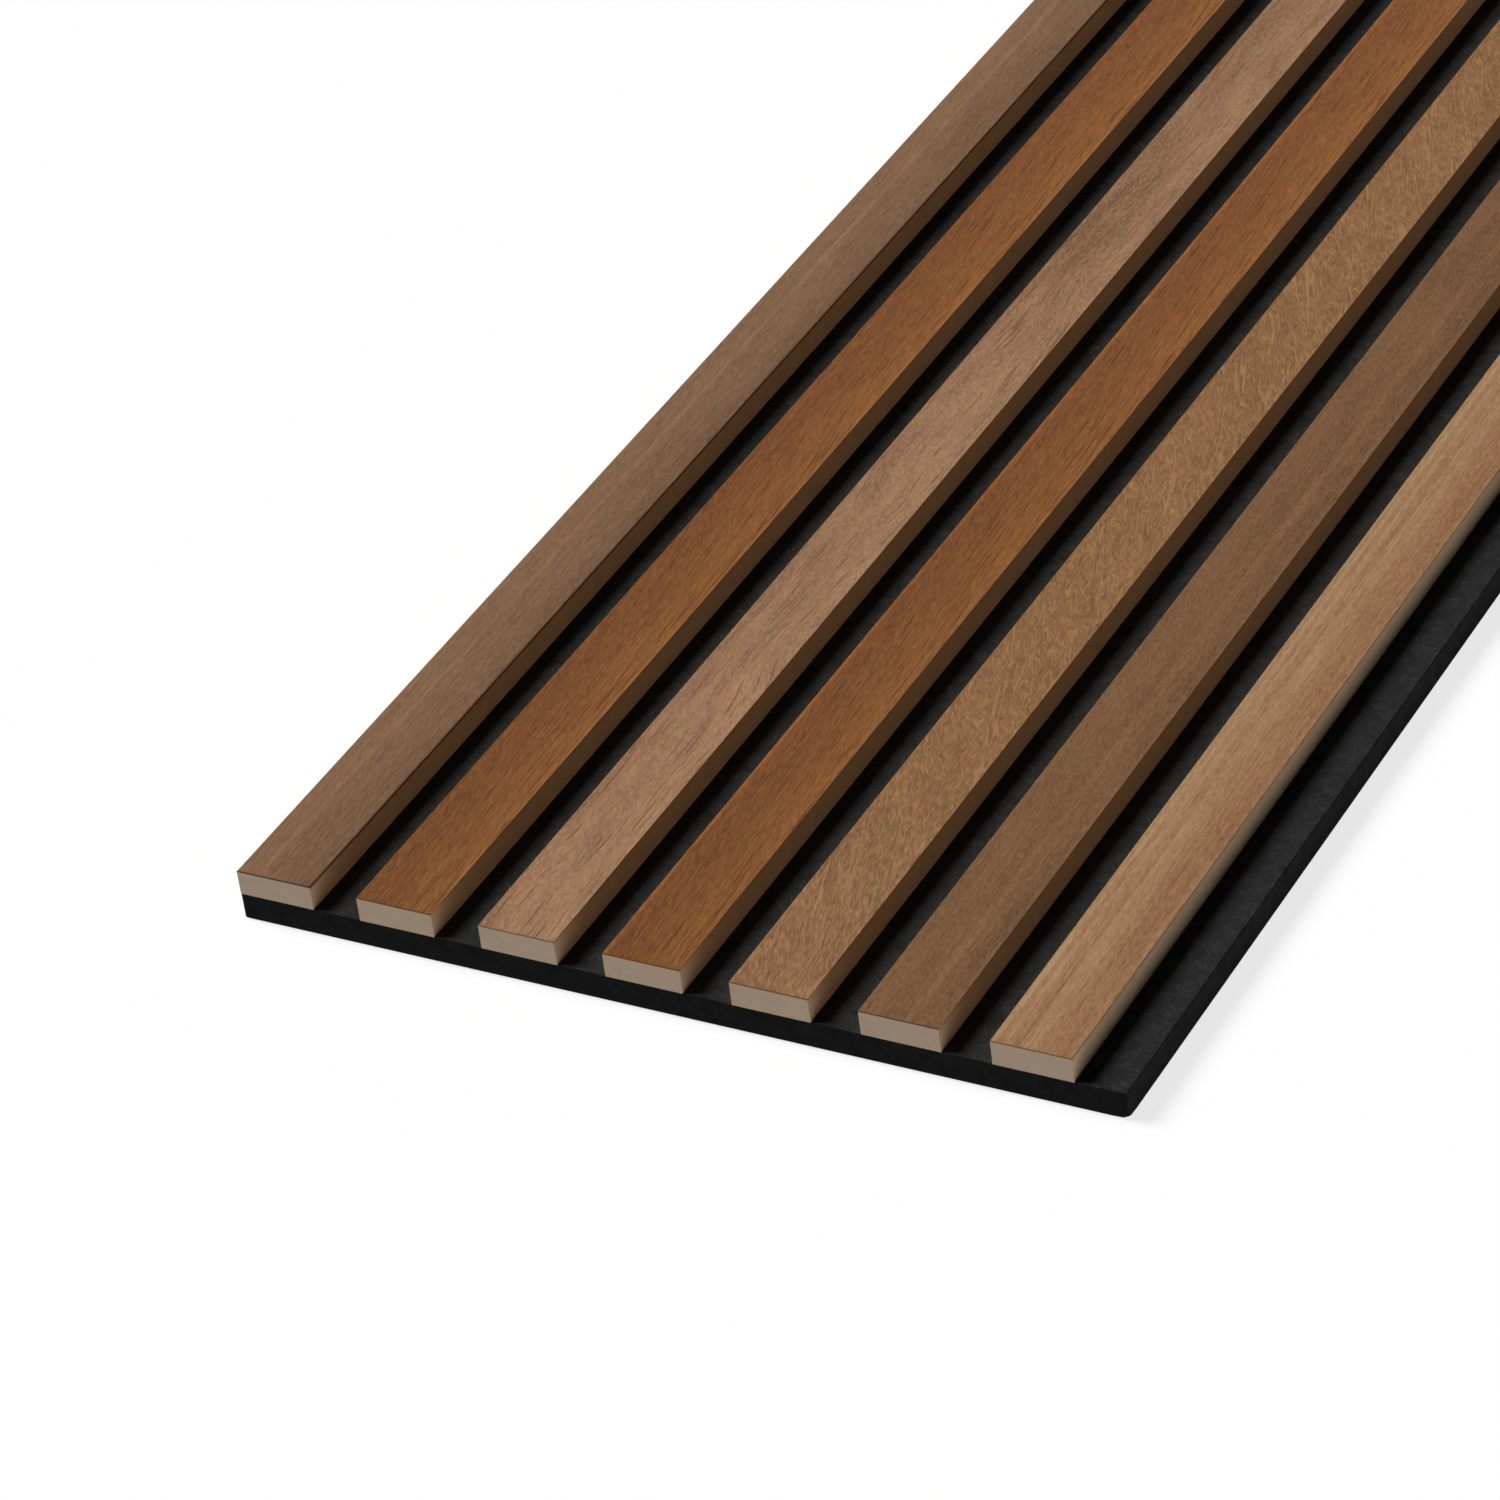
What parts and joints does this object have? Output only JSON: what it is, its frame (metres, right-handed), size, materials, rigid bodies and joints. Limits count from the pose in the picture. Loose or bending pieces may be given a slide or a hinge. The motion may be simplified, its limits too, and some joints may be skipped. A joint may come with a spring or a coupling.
{
  "type": "acoustic panel",
  "caption": "Slatted acoustic wall panel: veneered fibreboard slats with open channels between them, stapled to a black felt board that runs on past the last slat as a bare lap.",
  "frame": {"origin": "centre of the felt board's back face, which lies on the wall or on a floor", "axes": "+X across the slats towards the bare lap, +Y along the slats, +Z out of the visible face"},
  "size_m": [0.28, 0.6, 0.017],
  "materials": {
    "felt": "matte",
    "fibreboard": "matte",
    "veneer_grey_brown": null,
    "veneer_russet": null,
    "veneer_rose": null,
    "veneer_golden": null,
    "veneer_umber": null,
    "veneer_tan": null,
    "staple_steel": null
  },
  "bodies": {
    "root": {"felt_backing": "felt", "slat_core_1": "fibreboard", "slat_core_2": "fibreboard", "slat_core_3": "fibreboard", "slat_core_4": "fibreboard", "slat_core_5": "fibreboard", "slat_core_6": "fibreboard", "slat_core_7": "fibreboard", "slat_veneer_1": "veneer_grey_brown", "slat_veneer_2": "veneer_russet", "slat_veneer_3": "veneer_rose", "slat_veneer_4": "veneer_russet", "slat_veneer_5": "veneer_golden", "slat_veneer_6": "veneer_umber", "slat_veneer_7": "veneer_tan", "rear_staples": "staple_steel"}
  },
  "joints": []
}
